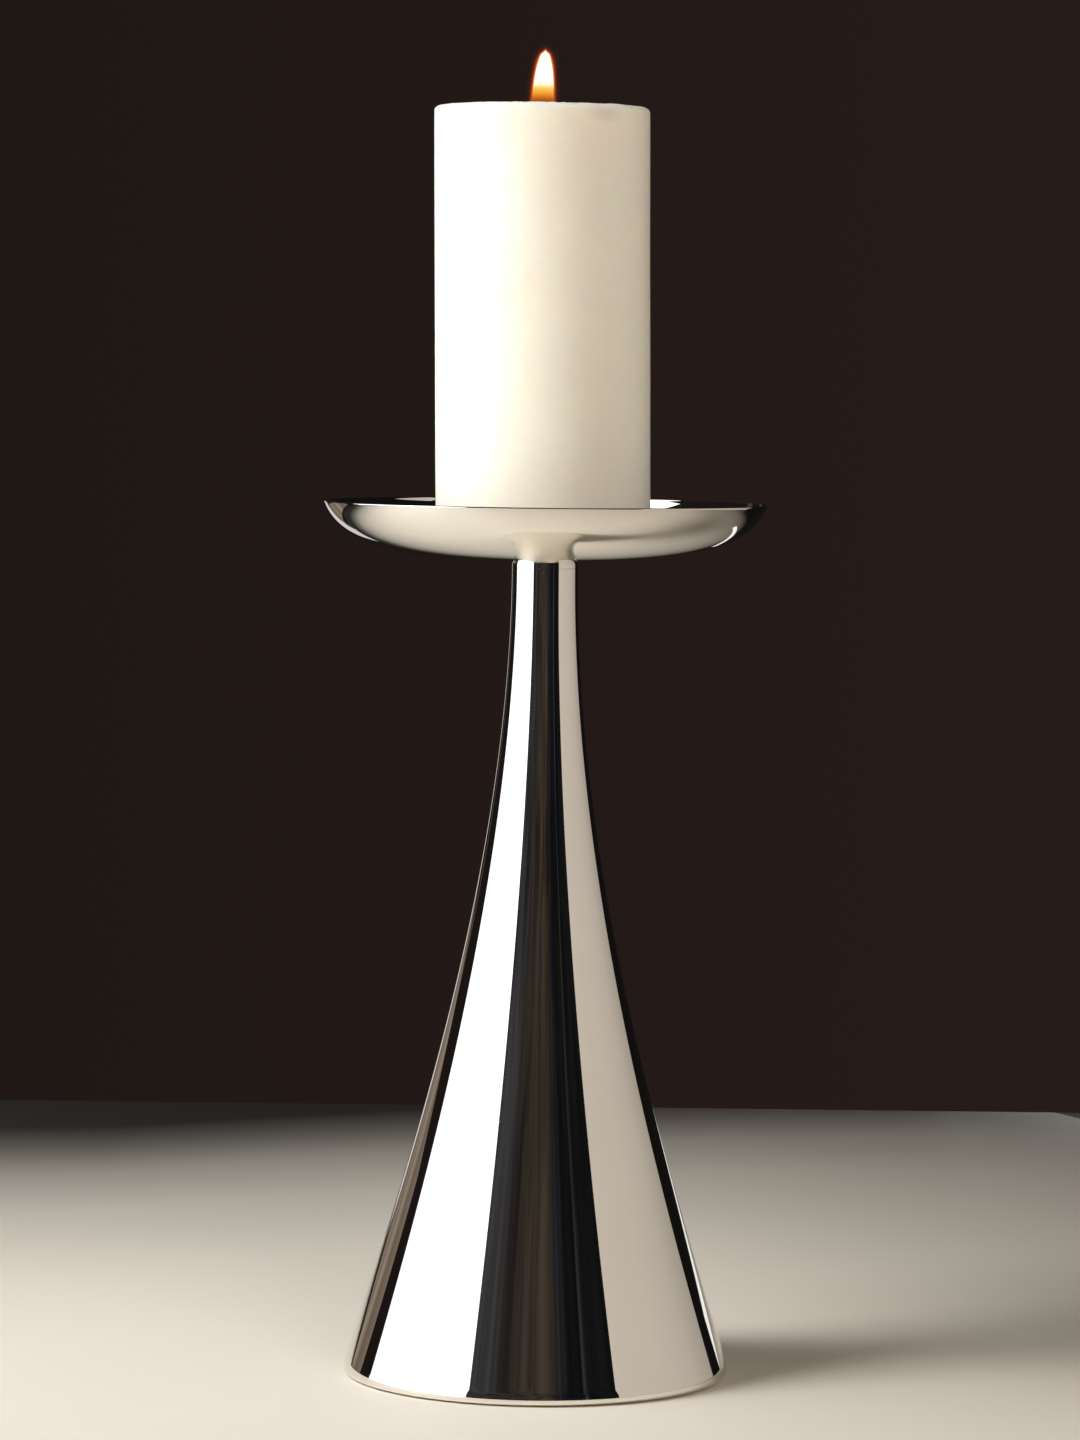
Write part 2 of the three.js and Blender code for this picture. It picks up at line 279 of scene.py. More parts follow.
def mirror_nickel():
    """Polished nickel plate: faint spinning lines, wiped smudges and a few pin pits."""
    material, nodes, links, principled = shader("mirror_nickel", Metallic=1.0, IOR=2.0)
    vector = object_coordinates(nodes, links)
    tint = noise_texture(nodes, links, vector, 14, 4)
    links.new(ramp(nodes, links, tint, [(0.3, (0.86, 0.82, 0.755)), (0.7, (0.90, 0.862, 0.80))]),
              principled.inputs["Base Color"])
    wiped = object_coordinates(nodes, links, (1, 1, 0.35))
    smudge = noise_texture(nodes, links, wiped, 26, 5, 0.62, 0.8)
    links.new(to_range(nodes, links, smudge, 0.02, 0.075, 0.52, 0.78), principled.inputs["Roughness"])
    lines = noise_texture(nodes, links, object_coordinates(nodes, links, (6, 6, 900)), 1.0, 2)
    spun = bump(nodes, links, principled, lines, 0.012, 0.0002)
    pits = nodes.new("ShaderNodeTexVoronoi")
    pits.inputs["Scale"].default_value = 420
    links.new(vector, pits.inputs["Vector"])
    pit = to_range(nodes, links, pits.outputs["Distance"], 0.0, 1.0, 0.0, 0.055)
    bump(nodes, links, principled, pit, 0.03, 0.0001, spun)
    return material


def candle_wax():
    """Moulded paraffin: milky, slightly mottled, with a satin skin and grey painted shade in the dent."""
    material, nodes, links, principled = shader(
        "candle_wax", Roughness=0.42, Subsurface_Weight=1.0, Subsurface_Scale=0.012,
        Subsurface_Radius=(1.0, 0.72, 0.48), IOR=1.44, Specular_IOR_Level=0.35)
    vector = object_coordinates(nodes, links)
    mottle = noise_texture(nodes, links, vector, 38, 6, 0.6)
    cream = ramp(nodes, links, mottle, [(0.3, (0.885, 0.825, 0.715)), (0.7, (0.915, 0.86, 0.755))])
    # Grey painted shade in the dent, darkest at its middle and gone a little way off.
    flattened = object_coordinates(nodes, links, (1, 1, DENT_SHADE_FLATNESS))
    from_dent = nodes.new("ShaderNodeVectorMath")
    from_dent.operation = "DISTANCE"
    links.new(flattened, from_dent.inputs[0])
    from_dent.inputs[1].default_value = (
        CANDLE_X + CANDLE_RADIUS * math.cos(DENT_ANGLE), CANDLE_RADIUS * math.sin(DENT_ANGLE),
        (CANDLE_HIGH.z - DENT_DROP) * DENT_SHADE_FLATNESS)
    smudge = to_range(nodes, links, from_dent.outputs["Value"], DENT_SHADE_STRENGTH, 0.0,
                      DENT_SHADE_CORE, DENT_SHADE_REACH)
    dent_shaded_wax = nodes.new("ShaderNodeMix")
    dent_shaded_wax.data_type = "RGBA"
    links.new(smudge, dent_shaded_wax.inputs["Factor"])
    links.new(cream, dent_shaded_wax.inputs["A"])
    dent_shaded_wax.inputs["B"].default_value = (0.36, 0.36, 0.38, 1)
    links.new(dent_shaded_wax.outputs["Result"], principled.inputs["Base Color"])
    skin = noise_texture(nodes, links, object_coordinates(nodes, links, (1, 1, 0.5)), 60, 5, 0.55)
    soft = bump(nodes, links, principled, skin, 0.12, 0.0006)
    grain = noise_texture(nodes, links, vector, 700, 3)
    bump(nodes, links, principled, grain, 0.05, 0.0002, soft)
    return material


def charred_wick():
    """Braided cotton, waxed white at the pool and burnt black above it."""
    material, nodes, links, principled = shader("charred_wick", Roughness=0.9)
    vector = object_coordinates(nodes, links)
    split = nodes.new("ShaderNodeSeparateXYZ")
    links.new(vector, split.inputs["Vector"])
    along = to_range(nodes, links, split.outputs["Z"], 0.0, 1.0,
                     POOL_HEIGHT, CANDLE_HIGH.z + 3 * MM)
    links.new(ramp(nodes, links, along, [(0.0, (0.78, 0.70, 0.55)), (0.55, (0.09, 0.05, 0.03)),
                                         (1.0, (0.012, 0.010, 0.010))]), principled.inputs["Base Color"])
    braid = nodes.new("ShaderNodeTexWave")
    braid.bands_direction = "DIAGONAL"
    braid.inputs["Scale"].default_value = 900
    braid.inputs["Distortion"].default_value = 2.0
    links.new(vector, braid.inputs["Vector"])
    bump(nodes, links, principled, braid.outputs["Fac"], 0.6, 0.0003)
    return material


def flame_light(name, strength, stops):
    """Light that changes with height up the flame; each stop is (share of height, colour, opacity)."""
    material = bpy.data.materials.new(name)
    material.use_nodes = True
    nodes, links = material.node_tree.nodes, material.node_tree.links
    nodes.clear()
    output = nodes.new("ShaderNodeOutputMaterial")
    split = nodes.new("ShaderNodeSeparateXYZ")
    links.new(object_coordinates(nodes, links), split.inputs["Vector"])
    height = to_range(nodes, links, split.outputs["Z"], 0.0, 1.0,
                      POOL_HEIGHT, CANDLE_HIGH.z + FLAME_HEIGHT)
    glow = nodes.new("ShaderNodeEmission")
    glow.inputs["Strength"].default_value = strength
    colours = [(place, colour) for place, colour, _ in stops]
    links.new(ramp(nodes, links, height, colours), glow.inputs["Color"])
    clear = nodes.new("ShaderNodeBsdfTransparent")
    mix = nodes.new("ShaderNodeMixShader")
    opacities = [(place, (opacity,) * 3) for place, _, opacity in stops]
    links.new(ramp(nodes, links, height, opacities), mix.inputs["Fac"])
    links.new(clear.outputs[0], mix.inputs[1])
    links.new(glow.outputs[0], mix.inputs[2])
    links.new(mix.outputs[0], output.inputs["Surface"])
    return material


def turned_brass():
    material, nodes, links, principled = shader("turned_brass", Metallic=1.0)
    vector = object_coordinates(nodes, links)
    tarnish = noise_texture(nodes, links, vector, 90, 5)
    links.new(ramp(nodes, links, tarnish, [(0.3, (0.60, 0.43, 0.17)), (0.7, (0.80, 0.62, 0.30))]),
              principled.inputs["Base Color"])
    links.new(to_range(nodes, links, tarnish, 0.22, 0.45), principled.inputs["Roughness"])
    cuts = noise_texture(nodes, links, object_coordinates(nodes, links, (10, 10, 4000)), 1.0, 2)
    bump(nodes, links, principled, cuts, 0.25, 0.0002)
    return material


def zinc_steel(name, thread_pitch=None):
    """Bright zinc plate, with thread turns of that pitch where the piece has them."""
    material, nodes, links, principled = shader(name, Metallic=1.0)
    vector = object_coordinates(nodes, links)
    spangle = noise_texture(nodes, links, vector, 500, 4)
    links.new(ramp(nodes, links, spangle, [(0.3, (0.52, 0.54, 0.56)), (0.7, (0.70, 0.71, 0.72))]),
              principled.inputs["Base Color"])
    links.new(to_range(nodes, links, spangle, 0.25, 0.42), principled.inputs["Roughness"])
    if thread_pitch:
        turns = nodes.new("ShaderNodeTexWave")
        turns.bands_direction = "Z"
        turns.inputs["Scale"].default_value = math.pi / (10 * thread_pitch)
        links.new(vector, turns.inputs["Vector"])
        bump(nodes, links, principled, turns.outputs["Fac"], 1.0, 0.0005)
    else:
        bump(nodes, links, principled, spangle, 0.15, 0.0001)
    return material


def cast_iron():
    material, nodes, links, principled = shader("cast_iron", Metallic=0.35, Roughness=0.72)
    vector = object_coordinates(nodes, links)
    sand = noise_texture(nodes, links, vector, 600, 6, 0.65)
    links.new(ramp(nodes, links, sand, [(0.3, (0.05, 0.05, 0.052)), (0.75, (0.13, 0.13, 0.135))]),
              principled.inputs["Base Color"])
    bump(nodes, links, principled, sand, 0.6, 0.0004)
    return material


def black_enamel():
    material, nodes, links, principled = shader("black_enamel", Coat_Weight=0.4, Coat_Roughness=0.2)
    vector = object_coordinates(nodes, links)
    peel = noise_texture(nodes, links, vector, 260, 2)
    links.new(ramp(nodes, links, peel, [(0.2, (0.018, 0.018, 0.019)), (0.8, (0.030, 0.030, 0.032))]),
              principled.inputs["Base Color"])
    links.new(to_range(nodes, links, peel, 0.32, 0.45), principled.inputs["Roughness"])
    bump(nodes, links, principled, peel, 0.15, 0.0003)
    return material


def pressed_felt():
    material, nodes, links, principled = shader("pressed_felt", Roughness=1.0, Sheen_Weight=0.4,
                                                Sheen_Roughness=0.6)
    vector = object_coordinates(nodes, links)
    fibres = noise_texture(nodes, links, vector, 900, 8, 0.75, 1.5)
    links.new(ramp(nodes, links, fibres, [(0.3, (0.022, 0.021, 0.020)), (0.8, (0.075, 0.07, 0.066))]),
              principled.inputs["Base Color"])
    bump(nodes, links, principled, fibres, 0.9, 0.0006)
    return material


# ---------------------------------------------------------------- the holder

def make_stem(metal):
    """The flared stem: a thin spun shell whose foot is rounded in two arcs, thicker inside its edge."""
    foot_angle = math.atan(FOOT_SLOPE)
    centre = (FOOT_RADIUS - FOOT_FILLET, STEM_LOW.z + FOOT_FILLET)
    foot = arc(centre, FOOT_FILLET, -math.pi / 2, FOOT_BLEND_ANGLE, 12)
    inward = FOOT_BLEND - FOOT_FILLET
    blend_centre = (centre[0] - inward * math.cos(FOOT_BLEND_ANGLE),
                    centre[1] - inward * math.sin(FOOT_BLEND_ANGLE))
    foot += arc(blend_centre, FOOT_BLEND, FOOT_BLEND_ANGLE, foot_angle, 12)[1:]
    start = foot[-1]
    curve = bezier(start, (start[0] - FOOT_SLOPE * FOOT_PULL, start[1] + FOOT_PULL),
                   (NECK_RADIUS, STEM_HIGH.z - NECK_PULL), (NECK_RADIUS, STEM_HIGH.z), 120)
    inside = [point for point in reversed(beside(curve, STEM_WALL)) if point[1] > LIP_HEIGHT]
    profile = [(LIP_RADIUS, STEM_LOW.z), (LIP_RADIUS + 0.4 * MM, STEM_LOW.z)]
    profile += foot + beside(curve, 0)[1:]
    profile += inside
    profile += [(LIP_RADIUS + 1 * MM, LIP_HEIGHT), (LIP_RADIUS, LIP_HEIGHT)]
    return turned("flared_stem_shell", profile, metal)


def make_dish(metal):
    """The drip dish: a shallow bowl whose wall thins toward a rounded rim, with a bore in its floor."""
    edge = (RIM_RADIUS, DISH_HIGH.z - RIM_WALL / 2)
    across, up = math.cos(DISH_RISE_ANGLE), math.sin(DISH_RISE_ANGLE)
    curve = bezier((DISH_FLAT_RADIUS, DISH_LOW.z), (DISH_FLAT_RADIUS + DISH_FLAT_PULL, DISH_LOW.z),
                   (edge[0] - DISH_RIM_PULL * across, edge[1] - DISH_RIM_PULL * up), edge, 96)
    inside = []
    for step, (at, along) in enumerate(curve):
        wall = DISH_WALL + (RIM_WALL - DISH_WALL) * (step / (len(curve) - 1)) ** 2
        inside.append((at.x - along.y * wall, at.y + along.x * wall))
    inside.reverse()
    rim_centre = ((edge[0] + inside[0][0]) / 2, (edge[1] + inside[0][1]) / 2)
    turn = DISH_RISE_ANGLE - math.pi / 2
    profile = line((BORE_RADIUS, DISH_LOW.z), (DISH_FLAT_RADIUS, DISH_LOW.z), 8)
    profile += beside(curve, 0)
    profile += arc(rim_centre, RIM_WALL / 2, turn, turn + math.pi, 10)[1:-1]
    profile += inside
    profile += line((DISH_FLAT_RADIUS, DISH_FLOOR), (BORE_RADIUS, DISH_FLOOR), 8)[1:]
    profile += [(BORE_RADIUS, DISH_FLOOR)]
    return turned("drip_dish", profile, metal)


def make_collar(metal):
    """The collar that carries the neck straight up to the dish, with a hair-thin seam at each end."""
    low, high = STEM_HIGH.z + SEAM, DISH_LOW.z - SEAM
    cove_start = high - COLLAR_COVE
    profile = [(BORE_RADIUS, low), (NECK_RADIUS - SEAM, low), (NECK_RADIUS, low + SEAM)]
    profile += line((NECK_RADIUS, cove_start - 0.4 * MM), (NECK_RADIUS, cove_start), 2)
    profile += arc((NECK_RADIUS + COLLAR_COVE, cove_start), COLLAR_COVE, math.pi, math.pi / 2, 8)
    profile += [(BORE_RADIUS, high)]
    return turned("neck_collar", profile, metal)


def make_pricket(metal):
    """The spike on its flange, with the stud below that screws into the neck."""
    flange_low = DISH_FLOOR + GAP
    flange_high = flange_low + FLANGE_THICKNESS
    rounding = SPIKE_ROUNDING
    knee = (SPIKE_KNEE_RADIUS, flange_high + SPIKE_KNEE_HEIGHT)
    tip = PRICKET_HIGH.z - SPIKE_TIP_RADIUS
    profile = [(0, PRICKET_LOW.z), (STUD_RADIUS - STUD_CHAMFER, PRICKET_LOW.z)]
    profile += line((STUD_RADIUS, PRICKET_LOW.z + STUD_CHAMFER), (STUD_RADIUS, flange_low), 6)
    profile += line((STUD_RADIUS, flange_low), (PRICKET_HIGH.x - rounding, flange_low), 5)
    profile += arc((PRICKET_HIGH.x - rounding, flange_low + rounding), rounding, -math.pi / 2, 0, 6)
    profile += arc((PRICKET_HIGH.x - rounding, flange_high - rounding), rounding, 0, math.pi / 2, 6)
    profile += arc((SPIKE_RADIUS + rounding, flange_high + rounding), rounding, -math.pi / 2, -math.pi, 6)
    profile += line((SPIKE_RADIUS, flange_high + 2 * rounding), knee, 12)
    profile += line(knee, (SPIKE_TIP_RADIUS, tip), 12)
    profile += arc((0, tip), SPIKE_TIP_RADIUS, 0, math.pi / 2, 5)[:-1] + [(0, tip + SPIKE_TIP_RADIUS)]
    return turned("pricket_spike", profile, metal, closed=False, segments=64)


def make_disc(name, low, high, rounding, material, wobble=None):
    """A round flat plate that fills a box from low to high, with softened edges."""
    radius = high.x
    profile = [(0, low.z)] + line((0.2 * radius, low.z), (radius - rounding, low.z), 8)
    profile += arc((radius - rounding, low.z + rounding), rounding, -math.pi / 2, 0, 5)
    profile += arc((radius - rounding, high.z - rounding), rounding, 0, math.pi / 2, 5)
    profile += line((radius - rounding, high.z), (0.2 * radius, high.z), 8)[1:] + [(0, high.z)]
    return turned(name, profile, material, closed=False, wobble=wobble)


def fuzzy_edge(angle, radius, height):
    """The felt's cut edge isn't quite even."""
    near_edge = radius > 0.95 * FELT_HIGH.x
    return (0.12 * MM * noise.noise(Vector((angle * 40, height * 900, 1.3))) if near_edge else 0.0), 0.0


def candle_centre(height):
    """The candle's own axis, as an X for each height."""
    return CANDLE_X + CANDLE_LEAN * (height - CANDLE_MIDDLE)


def worn_wax(angle, radius, height):
    """The moulded side's slight swells, and a softly nicked upper edge with one thumb dent below it."""
    if radius < 0.6 * CANDLE_RADIUS:
        return 0.0, 0.0
    swell = 0.10 * MM * noise.noise(Vector((math.cos(angle), math.sin(angle), height * 9)) * 2.1)
    near_top = max(0.0, 1 - (CANDLE_HIGH.z - height) / WORN_BAND)
    near_side = min(1.0, max(0.0, 1 - (CANDLE_RADIUS - 2 * MM - radius) / (3 * MM)))
    chips = noise.noise(Vector((math.cos(angle) * 5, math.sin(angle) * 5, 3.7)))
    nicks = min(0.0, noise.noise(Vector((math.cos(angle) * 34, math.sin(angle) * 34, 8.1))) + 0.12)
    worn = near_top * near_side * (0.20 * chips + 0.55 * nicks) * MM
    across = (angle - DENT_ANGLE) * CANDLE_RADIUS
    down = height - (CANDLE_HIGH.z - DENT_DROP)
    dent = DENT_DEPTH * math.exp(-(across / DENT_ACROSS) ** 2 - (down / DENT_DOWN) ** 2)
    return swell + worn * 0.4 - dent, worn


def make_candle(wax):
    """The pillar: a crisp lower edge, a softened upper one, a shallow pool and the spike's hole."""
    top, low = CANDLE_HIGH.z, CANDLE_LOW.z
    shoulder = top - 10 * MM
    profile = [(SPIKE_HOLE_RADIUS + 4 * MM, low), (CANDLE_RADIUS - 8 * MM, low)]
    profile += arc((CANDLE_RADIUS - CANDLE_BASE_EDGE, low + CANDLE_BASE_EDGE), CANDLE_BASE_EDGE,
                   -math.pi / 2, 0, 6)
    profile += line((CANDLE_RADIUS, low + 2 * MM), (CANDLE_RADIUS, shoulder), 60)
    profile += line((CANDLE_RADIUS, shoulder), (CANDLE_RADIUS, top - CANDLE_EDGE), 16)
    profile += arc((CANDLE_RADIUS - CANDLE_EDGE, top - CANDLE_EDGE), CANDLE_EDGE, 0, math.pi / 2, 12)
    profile += line((CANDLE_RADIUS - CANDLE_EDGE - 1 * MM, top), (POOL_RADIUS + POOL_SLOPE, top), 4)
    slope_steps = 16
    for step in range(slope_steps + 1):
        share = step / slope_steps
        ease = share * share * (3 - 2 * share)
        profile.append((POOL_RADIUS + POOL_SLOPE * (1 - 2 * share), top - POOL_DEPTH * ease))
    # The melted wax climbs the wick a little, and below the pool the wick's bore meets the spike's hole.
    profile += [(6 * MM, POOL_HEIGHT), (2.4 * MM, POOL_HEIGHT + 0.25 * MM),
                (WICK_BORE_RADIUS, POOL_HEIGHT + 0.45 * MM)]
    profile += [(WICK_BORE_RADIUS, SPIKE_HOLE_TOP + 6 * MM), (WICK_BORE_RADIUS, SPIKE_HOLE_TOP)]
    profile += [(SPIKE_HOLE_RADIUS * 0.8, SPIKE_HOLE_TOP - 1.2 * MM),
                (SPIKE_HOLE_RADIUS, low + SPIKE_HOLE_BEVEL), (SPIKE_HOLE_RADIUS + SPIKE_HOLE_BEVEL, low)]

    def centre_at(radius, height):
        in_spike_hole = (radius <= SPIKE_HOLE_RADIUS + SPIKE_HOLE_BEVEL
                         and height < SPIKE_HOLE_TOP + 1 * MM)
        return 0.0 if in_spike_hole else candle_centre(height)

    return turned("pillar_candle", profile, wax, centre_at, wobble=worn_wax)


def make_wick(char):
    """A braided wick: three strands twisted round a line that bends over above the pool."""
    base, tip = WICK_LOW.z, WICK_HIGH.z - 0.3 * MM
    sides, steps = 18, 110

    def fill(bm):
        rings = []
        for step in range(steps + 1):
            share = 1 - (1 - step / steps) ** 3
            height = base + (tip - base) * share
            bent = max(0.0, (height - POOL_HEIGHT) / (tip - POOL_HEIGHT)) ** 2
            middle = Vector((candle_centre(height) + WICK_BEND * bent, 0, height))
            taper = min(1.0, 0.35 + (1 - share) / 0.023)
            ring = []
            for k in range(sides):
                angle = 2 * math.pi * k / sides
                strand = 0.86 + 0.14 * math.cos(3 * (angle - height / WICK_PLAIT))
                arm = Vector((math.cos(angle), math.sin(angle), 0)) * WICK_RADIUS * taper * strand
                ring.append(bm.verts.new(middle + arm))
            rings.append(ring)
        loft(bm, rings)
        bm.faces.new(rings[0])
        bm.faces.new(rings[-1])

    return new_object("braided_wick", fill, char)


def make_flame(name, margin, material):
    """A bullet-shaped shell of flame, a margin larger or smaller all round than the flame's size."""
    foot = POOL_HEIGHT + 0.6 * MM
    tip = CANDLE_HIGH.z + FLAME_HEIGHT
    steps = 48
    profile = [(0, foot)]
    for step in range(steps + 1):
        down = 1 - (1 - step / steps) ** 0.7
        share = 1 - down
        radius = FLAME_RADIUS * math.sqrt(1 - (1 - share) ** 3) * (0.9 + 0.1 * share)
        height = foot + (tip - foot) * down + margin * (1 - share)
        profile.append(((radius + margin * min(1.0, 6 * share)) if share > 0 else 0, height))

    def centre_at(radius, height):
        return candle_centre(CANDLE_HIGH.z) + FLAME_LEAN * (height - foot) / (tip - foot)

    return turned(name, profile, material, centre_at, closed=False, segments=48)


def add_pieces():
    nickel = mirror_nickel()
    wax = candle_wax()
    stand_pieces = [
        (make_stem(nickel), "flared_stem", "plated_metal"),
        (make_dish(nickel), "dish", "plated_metal"),
        (make_collar(nickel), "dish_collar", "plated_metal"),
        (make_pricket(nickel), "pricket", "plated_metal"),
        (make_disc("base_plate", *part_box("base_cover"), 0.3 * MM, black_enamel()),
         "base_cover", "cover_enamel"),
        (make_disc("felt_disc", *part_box("felt_pad"), 0.5 * MM, pressed_felt(), fuzzy_edge),
         "felt_pad", "felt"),
    ]
    candle_pieces = [
        (make_candle(wax), "candle_wax", "wax"),
        (make_wick(charred_wick()), "candle_wick", "wick_cotton"),
    ]
    for body, pieces in (("stand", stand_pieces), ("candle", candle_pieces)):
        for piece, node, slot in pieces:
            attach(piece, body)
            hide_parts(node)
    core = flame_light("flame_core", 2.2, [
        (0.00, (0.020, 0.005, 0.002), 0.55), (0.12, (0.050, 0.010, 0.002), 0.85),
        (0.18, (0.120, 0.028, 0.005), 0.95), (0.23, (0.260, 0.083, 0.008), 1.0),
        (0.28, (0.430, 0.190, 0.016), 1.0), (0.33, (0.500, 0.300, 0.040), 1.0),
        (0.38, (0.600, 0.440, 0.120), 1.0), (0.44, (0.900, 0.860, 0.580), 1.0),
        (0.50, (1.0, 0.97, 0.88), 1.0), (1.00, (1.0, 0.98, 0.90), 1.0)])
    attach(make_flame("flame", -0.35 * MM, core), "candle")
    skin = flame_light("flame_skin", 1.1, [
        (0.00, (0.10, 0.02, 0.004), 0.05), (0.30, (0.75, 0.28, 0.03), 0.30),
        (0.60, (1.00, 0.45, 0.07), 0.35), (1.00, (1.00, 0.42, 0.06), 0.35)])
    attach(make_flame("flame_edge", 0.0, skin), "candle")
    for index, (margin, share) in enumerate(((0.4 * MM, 0.20), (0.9 * MM, 0.05), (1.8 * MM, 0.010))):
        halo = flame_light(f"flame_halo_{index}", 1.0, [(0.0, (0.75, 0.07, 0.01), share * 0.8),
                                                       (1.0, (0.85, 0.09, 0.01), share)])
        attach(make_flame(f"flame_glow_{index}", margin, halo), "candle")


def repaint_frame():
    """Materials for the CAD pieces that stay."""
    zinc = zinc_steel("zinc_steel")
    threaded = zinc_steel("zinc_thread", thread_pitch=1 * MM)
    paints = {
        "neck_bush": turned_brass(),
        "tie_rod": threaded,
        "flat_washer": zinc,
        "lock_washer": zinc,
        "hex_nut": zinc,
        "ballast_weight": cast_iron(),
    }
    for node, material in paints.items():
        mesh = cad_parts[node].data
        mesh.materials.clear()
        mesh.materials.append(material)


# ---------------------------------------------------------------- the studio

TABLE_BACK = 0.72
TABLE_FRONT = -1.45
TABLE_SIDE = 1.5
# How dark the painted shade on the table's right side gets.
TABLE_RIGHT_SHADE = 0.42
WINDOW_X = -0.85
REFLECTOR_X = 0.75
DAYLIGHT = (1.0, 0.995, 0.985)
SKYLIGHT = (0.87, 0.93, 1.0)
CREAM = (1.0, 0.905, 0.80)
WARM_GREY = (1.0, 0.80, 0.63)
UNCUT = (1.0, 0.0, 2.0)  # a cut, as shape_light takes it, that leaves the whole panel shining


def math_node(nodes, links, operation, first, second):
    """A Math node whose inputs are links from sockets, or plain numbers."""
    node = nodes.new("ShaderNodeMath")
    node.operation = operation
    for value, socket in zip((first, second), node.inputs):
        if isinstance(value, (int, float)):
            socket.default_value = value
        else:
            links.new(value, socket)
    return node.outputs[0]


def painted_table():
    """Matt cream paint with painted shade toward the table's far corners and its right side."""
    material, nodes, links, principled = shader("pale_table", Roughness=0.62)
    vector = object_coordinates(nodes, links)
    split = nodes.new("ShaderNodeSeparateXYZ")
    links.new(vector, split.inputs["Vector"])
    across = math_node(nodes, links, "MULTIPLY", split.outputs["X"], 0.75)
    skew = to_range(nodes, links, split.outputs["X"], 0.07, -0.095, -0.2, 0.2)
    behind = math_node(nodes, links, "ADD", split.outputs["Y"], skew)
    behind = math_node(nodes, links, "MAXIMUM", behind, 0.0)
    squares = math_node(nodes, links, "ADD", math_node(nodes, links, "POWER", behind, 2.0),
                        math_node(nodes, links, "MULTIPLY", across, across))
    reach = math_node(nodes, links, "SQRT", squares, 0.0)
    cloud = noise_texture(nodes, links, vector, 5, 4)
    cream = ramp(nodes, links, cloud, [(0.3, (0.80, 0.735, 0.63)), (0.7, (0.825, 0.76, 0.655))])
    # Painted shade: the paint darkens with reach toward the table's far corners.
    shade = ramp(nodes, links, reach, [(0.30, (1.0,) * 3), (0.45, (0.93,) * 3), (0.56, (0.70,) * 3),
                                       (0.64, (0.30,) * 3), (0.71, (0.06,) * 3)])
    # More painted shade toward the right side, away from the front edge.
    rightward = to_range(nodes, links, split.outputs["X"], 0.0, TABLE_RIGHT_SHADE, 0.04, 0.34)
    from_front = to_range(nodes, links, split.outputs["Y"], 0.0, 1.0, -0.12, 0.12)
    painted_right_shade = math_node(nodes, links, "MULTIPLY", rightward, from_front)
    paint = nodes.new("ShaderNodeVectorMath")
    paint.operation = "MULTIPLY"
    links.new(cream, paint.inputs[0])
    links.new(shade, paint.inputs[1])
    right_shaded_paint = nodes.new("ShaderNodeVectorMath")
    right_shaded_paint.operation = "SCALE"
    links.new(paint.outputs[0], right_shaded_paint.inputs[0])
    links.new(math_node(nodes, links, "SUBTRACT", 1.0, painted_right_shade), right_shaded_paint.inputs["Scale"])
    links.new(right_shaded_paint.outputs[0], principled.inputs["Base Color"])
    bump(nodes, links, principled, noise_texture(nodes, links, vector, 220, 4), 0.05, 0.0005)
    return material


def add_table():
    """A pale table top with rounded edges."""
    edge, thickness = 6 * MM, 30 * MM

    def fill(bm):
        rings = []
        for inset, drop in [(0.0, thickness)] + arc((edge, edge), edge, math.pi, 1.5 * math.pi, 6):
            left, right = inset - TABLE_SIDE, TABLE_SIDE - inset
            front, back = TABLE_FRONT + inset, TABLE_BACK - inset
            corners = ((left, front), (right, front), (right, back), (left, back))
            rings.append([bm.verts.new((x, y, -drop)) for x, y in corners])
        loft(bm, rings)
        bm.faces.new(rings[-1])
        bm.faces.new(rings[0])

    new_object("table_top", fill, painted_table())


def add_panel(name, centre, target, width, height, power, colour, spread=180):
    """A rectangular light aimed at a target, which the camera itself never sees."""
    data = bpy.data.lights.new(name, "AREA")
    data.shape = "RECTANGLE"
    data.size = width
    data.size_y = height
    data.energy = power
    data.color = colour
    data.spread = math.radians(spread)
    light = bpy.data.objects.new(name, data)
    light.location = centre
    light.rotation_euler = (Vector(target) - Vector(centre)).to_track_quat("-Z", "Y").to_euler()
    light.visible_camera = False
    bpy.context.scene.collection.objects.link(light)
    return light


def add_upright(name, x, front, back, low, high, power, colour):
    """An upright panel in a plane of constant X that faces the holder, between two Y and two Z."""
    middle = ((front + back) / 2, (low + high) / 2)
    return add_panel(name, (x, *middle), (0, *middle), back - front, high - low, power, colour)


def shape_light(panel, stops, cut):
    """Grade a panel's light across its width, and cut off a corner.

    stops are (share of the width, strength). cut is (across, up, limit): the panel only shines where
    across * share of the width + up * share of the height is less than the limit.
    """
    panel.data.use_nodes = True
    nodes, links = panel.data.node_tree.nodes, panel.data.node_tree.links
    place = nodes.new("ShaderNodeNewGeometry")
    split = nodes.new("ShaderNodeSeparateXYZ")
    links.new(place.outputs["Parametric"], split.inputs["Vector"])
    graded = ramp(nodes, links, split.outputs["X"], [(share, (value,) * 3) for share, value in stops])
    across, up, limit = cut
    slant = math_node(nodes, links, "ADD",
                      math_node(nodes, links, "MULTIPLY", split.outputs["X"], across),
                      math_node(nodes, links, "MULTIPLY", split.outputs["Y"], up))
    inside = math_node(nodes, links, "LESS_THAN", slant, limit)
    links.new(math_node(nodes, links, "MULTIPLY", graded, inside), nodes["Emission"].inputs["Strength"])


